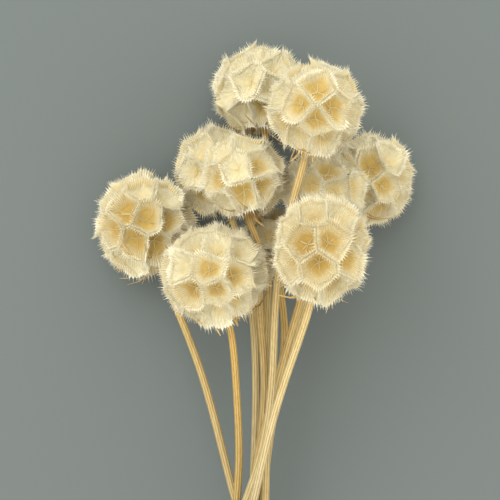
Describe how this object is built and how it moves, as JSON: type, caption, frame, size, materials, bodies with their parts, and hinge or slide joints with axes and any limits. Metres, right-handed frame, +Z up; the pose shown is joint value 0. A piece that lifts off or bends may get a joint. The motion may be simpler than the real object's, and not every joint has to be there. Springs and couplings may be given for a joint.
{
  "type": "preserved scabiosa bunch",
  "caption": "Hand-tied bunch of bleached, preserved scabiosa seed heads, round balls of papery cups on straw-coloured stems, for lying on a shelf or standing in a vase.",
  "frame": {"origin": "bottom centre of the bounding box, on the surface that the bunch lies on", "axes": "+Z up from that surface, +Y along the bunch from the cut stem ends to the seed heads, +X across it, to the right when seen from above with the heads at the top"},
  "size_m": [0.1282, 0.3054, 0.0959],
  "materials": {
    "paper_cups": "matte, dry and papery",
    "straw_stem": "satin straw",
    "jute_twine": "matte twisted fibre"
  },
  "bodies": {
    "root": {"head_a": "paper_cups", "head_b": "paper_cups", "head_c": "paper_cups", "head_d": "paper_cups", "head_e": "paper_cups", "head_f": "paper_cups", "head_g": "paper_cups", "head_h": "paper_cups", "head_i": "paper_cups", "head_k": "paper_cups", "stem_a": "straw_stem", "stem_b": "straw_stem", "stem_c": "straw_stem", "stem_d": "straw_stem", "stem_e": "straw_stem", "stem_f": "straw_stem", "stem_g": "straw_stem", "stem_h": "straw_stem", "stem_i": "straw_stem", "stem_k": "straw_stem", "tie": "jute_twine"}
  },
  "joints": []
}
